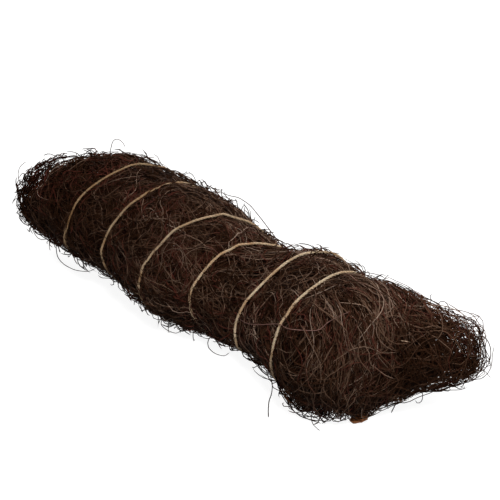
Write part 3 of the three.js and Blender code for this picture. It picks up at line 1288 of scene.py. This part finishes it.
    def tones(self, layer: TwigLayer, path: Array, draw: Draw) -> Array:
        """Chooses the tone of each twig of a layer, with its painted shade multiplied in.

        Args:
            layer: The layer.
            path: The twigs' points.
            draw: The source of random numbers.

        Returns:
            A tone for each twig, about from 0 to 1.
        """
        shade_and_blotches = self.shade_and_blotches
        depth = self.trimmed.depth(path.reshape(-1, 3)).reshape(path.shape[:2]).mean(axis=1)
        dark = shade_and_blotches.far(path[:, :, 0].mean(axis=1))
        middle = path[:, layer.points // 2]
        mouth = shade_and_blotches.mouth(middle[:, 0], self.form.outward(middle)[:, 0])
        # Painted shade in the mouth of the loose end.
        gloom = (shade_and_blotches.net_gloom if layer.net else shade_and_blotches.gloom) * mouth
        shade = shade_and_blotches.shade(depth, dark, middle, gloom)
        low, high = layer.tone
        return low + (high - low) * draw.beta(*shade_and_blotches.mix, layer.count) * shade

    def build(self, finish: TwigFinish, draw: Draw) -> list[Piece]:
        """Grows every layer.

        Args:
            finish: The twigs' finish.
            draw: The source of random numbers.

        Returns:
            The pieces.
        """
        material = finish.material()
        made = []
        for layer in self.layers:
            path = layer.grow(self.trimmed if layer.net else self.packed, draw)
            hides = self.buries(path) & (layer.over_twine > 0)
            over = draw.random(layer.count) < np.where(hides, self.buried_share, layer.over_twine)
            path = self.under_twine(path, over)
            radius = draw.uniform(*layer.radius, layer.count)[:, None]
            thick = radius * tapered(layer.points, self.taper) * draw.uniform(*self.uneven, path.shape[:2])
            path[:, :, 2] = np.maximum(path[:, :, 2], thick + FLOOR_GAP)
            # The tone has the painted shade multiplied in.
            tone = self.tones(layer, path, draw)
            for k, part in enumerate(np.array_split(np.arange(layer.count), layer.pieces)):
                strands = Strands(path[part], thick[part], tone[part])
                name = layer.name if layer.pieces == 1 else f"{layer.name}_{k + 1}"
                made.append(dress(strands.build(name, material), self.slot, self.node))
        return made


@dataclass
class LooseTwig:
    """One twig that catches the eye on the bundle's skin, with its places in millimetres."""

    name: str
    places: tuple[Triple, ...]
    radius: float
    finish: TwigFinish
    rise: float
    taper: float = 0.5
    tone: float = 0.5
    spacing: float = 3 * MM
    sides: int = 5
    node: str = "twig_bundle"
    slot: str = "twig"

    def build(self, form: BundleForm) -> Piece:
        """Lays the twig over the skin.

        Args:
            form: The bundle's form.

        Returns:
            The twig.
        """
        path = along_route(np.array(self.places) * MM, self.spacing)
        short = form.depth(path) + self.rise
        path = path + np.maximum(short, 0.0)[:, None] * form.outward(path)
        thick = self.radius * tapered(len(path), self.taper)
        strands = Strands(path[None], thick[None], np.array([self.tone]), self.sides)
        return dress(strands.build(self.name, self.finish.material()), self.slot, self.node)


def loose_twigs() -> list[LooseTwig]:
    """Lists the twigs that catch the eye.

    Returns:
        A long rosy twig that crosses the last turn of the twine, and a short bit of pale straw.
    """
    rosy_tones = ((0.3, (0.105, 0.052, 0.042)), (0.7, (0.170, 0.095, 0.080)))
    straw_tones = ((0.3, (0.300, 0.200, 0.130)), (0.7, (0.430, 0.310, 0.220)))
    rosy_places = (
        (68, -53, 56), (84, -60, 61), (101, -65, 69), (123, -70, 81),
        (139, -76, 86), (159, -69, 90), (164, -61, 96), (172, -45, 101),
    )
    straw_places = ((200, -24, 78), (203, -20, 76.5), (206, -17, 75.5))
    rosy = TwigFinish("rosy_twig", tones=rosy_tones, red_share=0.0)
    straw = TwigFinish("pale_straw", tones=straw_tones, red_share=0.0)
    return [
        LooseTwig("long_rosy_twig", rosy_places, 0.36 * MM, rosy, rise=2.0 * MM),
        LooseTwig("straw_bit", straw_places, 0.32 * MM, straw, rise=3.2 * MM),
    ]


@dataclass
class StrayTwigs:
    """Single twigs that leave the bundle, finer and more kinked than their solids."""

    slot: str = "twig"
    ring_reach: float = 1.6 * MM
    spacing: float = 2.2 * MM
    kink: float = 0.07 * MM
    root_radius: float = 0.48 * MM
    tip_radius: float = 0.27 * MM
    tone: Pair = (0.05, 0.4)
    sides: int = 5

    def build(self, finish: TwigFinish, draw: Draw) -> list[Piece]:
        """Redraws each stray along its solid's route.

        Args:
            finish: The twigs' finish.
            draw: The source of random numbers.

        Returns:
            One piece for each stray.
        """
        material = finish.material()
        made = []
        for node in sorted(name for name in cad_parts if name.startswith("stray_twig")):
            route = along_route(tube_route(node, self.ring_reach), self.spacing)
            kinks = np.cumsum(draw.normal(0, self.kink, route.shape), axis=0)
            route = route + kinks * np.sin(np.linspace(0, math.pi, len(route)))[:, None]
            thick = np.linspace(self.root_radius, self.tip_radius, len(route))
            route[:, 2] = np.maximum(route[:, 2], thick + FLOOR_GAP)
            strands = Strands(route[None], thick[None], draw.uniform(*self.tone, 1), self.sides)
            made.append(dress(strands.build(f"{node}_shaft", material), self.slot, node))
        return made


@dataclass
class BarkChip:
    """The chip of bark under the loose end: the solid chip with worn edges and a flaky face."""

    node: str = "bark_chip"
    slot: str = "bark"
    weld: float = 1e-6
    flat: float = math.radians(2)
    edge: float = 0.35 * MM
    edge_steps: int = 2
    cuts: int = 3
    rough: float = 0.35 * MM
    rough_noise: float = 260.0
    rough_falloff: float = 1.0
    rough_finer: float = 2.0
    rough_octaves: int = 4

    def build(self, finish: BarkFinish) -> Piece:
        """Rounds and roughens a copy of the solid chip.

        Args:
            finish: The bark's finish.

        Returns:
            The chip.
        """
        shape = bmesh.new()
        shape.from_mesh(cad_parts[self.node].data)
        bmesh.ops.remove_doubles(shape, verts=shape.verts, dist=self.weld)
        bmesh.ops.dissolve_limit(shape, angle_limit=self.flat, verts=shape.verts, edges=shape.edges)
        bmesh.ops.bevel(
            shape, geom=shape.edges[:], offset=self.edge, segments=self.edge_steps, profile=0.5,
            affect="EDGES", material=-1,
        )
        bmesh.ops.triangulate(shape, faces=shape.faces)
        bmesh.ops.subdivide_edges(shape, edges=shape.edges[:], cuts=self.cuts, use_grid_fill=True)
        shape.normal_update()
        for vertex in shape.verts:
            place = vertex.co * self.rough_noise
            push = noise.fractal(place, self.rough_falloff, self.rough_finer, self.rough_octaves)
            vertex.co += vertex.normal * self.rough * push
        bmesh.ops.recalc_face_normals(shape, faces=shape.faces)
        return dress(stand_shape("bark_flake", shape, finish.material()), self.slot, self.node)


# The studio


@dataclass(frozen=True)
class Lamp:
    """A soft square light that faces the bundle: its place and side in metres, and its power in watts."""

    name: str
    place: Triple
    side: float
    power: float

    def hang(self) -> Piece:
        """Hangs the lamp."""
        data = bpy.data.lights.new(self.name, "AREA")
        data.size = self.side
        data.energy = self.power
        made = stand(self.name, data)
        made.location = self.place
        made.rotation_euler = (-Vector(self.place)).to_track_quat("-Z", "Y").to_euler()
        return made


@dataclass
class Studio:
    """Floor, soft light and camera."""

    camera_at: Triple = (0.5994, -0.6318, 0.5361)
    camera_to: Triple = (0.0145, 0.0178, 0.0714)
    lens: float = 82.08
    sensor: float = 36.0
    nearest: float = 10 * MM
    sky: float = 0.2
    sky_colour: Colour = (1.0, 0.94, 0.88, 1.0)
    floor_size: float = 12.0
    lamps: tuple[Lamp, ...] = (
        Lamp("key_light", (0.75, -0.55, 1.2), 0.35, 27.0),
        Lamp("top_light", (0.35, 0.5, 1.3), 0.8, 8.0),
        Lamp("back_light", (-0.8, 0.9, 0.7), 0.8, 13.0),
    )

    def camera(self) -> Piece:
        """Sets the camera up."""
        data = bpy.data.cameras.new("camera")
        data.lens = self.lens
        data.sensor_width = self.sensor
        data.clip_start = self.nearest
        made = stand("camera", data)
        made.location = self.camera_at
        look = Vector(self.camera_to) - Vector(self.camera_at)
        made.rotation_euler = look.to_track_quat("-Z", "Y").to_euler()
        bpy.context.scene.camera = made
        return made

    def floor(self, finish: FloorFinish) -> Piece:
        """Lays the floor.

        Args:
            finish: Its finish.

        Returns:
            The floor.
        """
        shape = bmesh.new()
        bmesh.ops.create_grid(shape, x_segments=1, y_segments=1, size=self.floor_size / 2)
        made = stand_shape("studio_floor", shape, finish.material())
        made.visible_diffuse = False
        return made

    def build(self) -> None:
        """Sets up the whole studio."""
        scene = bpy.context.scene
        scene.view_settings.view_transform = "Standard"
        world = bpy.data.worlds.new("studio")
        world.use_nodes = True
        background = world.node_tree.nodes["Background"]
        background.inputs["Color"].default_value = self.sky_colour
        background.inputs["Strength"].default_value = self.sky
        scene.world = world
        self.floor(FloorFinish())
        for lamp in self.lamps:
            lamp.hang()
        self.camera()


def main() -> None:
    """Builds every piece in order, logs how many there are, and sets up the studio."""
    logging.basicConfig(level=logging.INFO, format="%(name)s %(message)s")
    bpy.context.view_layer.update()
    draw = np.random.default_rng(SEED)
    twine = BindingTwine()
    form = BundleForm()
    pieces = TwigBundle(form, twine).build(TwigFinish(), draw)
    pieces += [twig.build(form) for twig in loose_twigs()]
    pieces += twine.build(JuteFinish(), draw)
    pieces += StrayTwigs().build(TwigFinish("dry_stray_twig"), draw)
    pieces.append(BarkChip().build(BarkFinish()))
    LOG.info("%d pieces in all", len(pieces))
    Studio().build()


if __name__ == "__main__":
    main()
